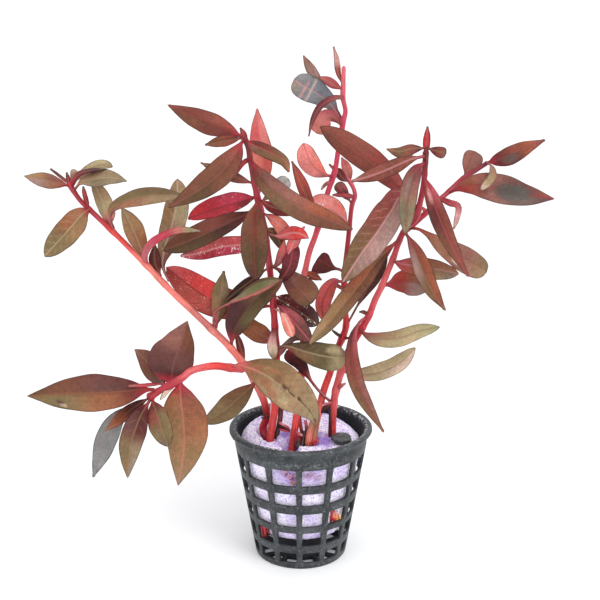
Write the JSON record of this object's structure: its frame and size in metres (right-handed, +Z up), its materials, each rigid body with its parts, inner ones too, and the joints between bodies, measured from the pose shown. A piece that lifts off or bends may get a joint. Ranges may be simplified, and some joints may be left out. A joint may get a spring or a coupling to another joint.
{
  "type": "potted aquarium plant",
  "caption": "Red-stemmed bunch of lance-leaved aquarium stem plants, held by a roll of foam in a tapered net pot with rows of square windows and a flared rim.",
  "frame": {"origin": "centre of the pot's underside, on the surface that the pot stands on", "axes": "+Z up along the pot's axis; -Y towards the front, the side the picture shows; +X to the right seen from the front"},
  "size_m": [0.1775, 0.0674, 0.1825],
  "materials": {
    "pot_black": "moulded, satin",
    "foam_lilac": "matt, open-cell",
    "stone_grey": "rough mineral",
    "stem_red": "smooth living bark",
    "leaf_olive": "waxy leaf, satin",
    "leaf_brown": "waxy leaf, satin",
    "leaf_red": "waxy leaf, satin",
    "leaf_pink": "leaf underside, matt"
  },
  "bodies": {
    "root": {"net_pot": "pot_black", "foam_roll": "foam_lilac", "stone_chip": "stone_grey", "left_stem": "stem_red", "low_left_branch": "stem_red", "inner_left_stem": "stem_red", "tall_stem": "stem_red", "centre_stem": "stem_red", "right_stem": "stem_red", "right_inner_branch": "stem_red", "centre_leaf_1": "leaf_pink", "centre_leaf_2": "leaf_brown", "centre_leaf_3": "leaf_red", "front_leaf": "leaf_olive", "inner_left_leaf_1": "leaf_red", "inner_left_leaf_2": "leaf_brown", "inner_left_leaf_3": "leaf_pink", "inner_left_leaf_4": "leaf_brown", "inner_left_leaf_5": "leaf_brown", "inner_left_leaf_6": "leaf_olive", "inner_left_leaf_7": "leaf_red", "inner_left_leaf_8": "leaf_brown", "inner_left_leaf_9": "leaf_red", "inner_left_leaf_10": "leaf_olive", "inner_left_leaf_11": "leaf_red", "inner_left_leaf_12": "leaf_olive", "left_leaf_1": "leaf_olive", "left_leaf_2": "leaf_olive", "left_leaf_3": "leaf_brown", "left_leaf_4": "leaf_olive", "left_leaf_5": "leaf_olive", "left_leaf_6": "leaf_olive", "left_leaf_7": "leaf_olive", "left_leaf_8": "leaf_olive", "left_leaf_9": "leaf_olive", "low_left_leaf_1": "leaf_olive", "low_left_leaf_2": "leaf_olive", "low_left_leaf_3": "leaf_brown", "low_left_leaf_4": "leaf_brown", "low_left_leaf_5": "leaf_brown", "low_left_leaf_6": "leaf_brown", "mid_leaf": "leaf_olive", "right_inner_leaf_1": "leaf_brown", "right_inner_leaf_2": "leaf_brown", "right_inner_leaf_3": "leaf_olive", "right_inner_leaf_4": "leaf_brown", "right_inner_leaf_5": "leaf_brown", "right_leaf_1": "leaf_red", "right_leaf_2": "leaf_brown", "right_leaf_3": "leaf_brown", "right_leaf_4": "leaf_olive", "right_leaf_5": "leaf_brown", "right_leaf_6": "leaf_red", "right_leaf_7": "leaf_olive", "right_leaf_8": "leaf_olive", "right_leaf_9": "leaf_brown", "right_leaf_10": "leaf_olive", "right_leaf_11": "leaf_red", "tall_leaf_1": "leaf_olive", "tall_leaf_2": "leaf_pink"}
  },
  "joints": []
}
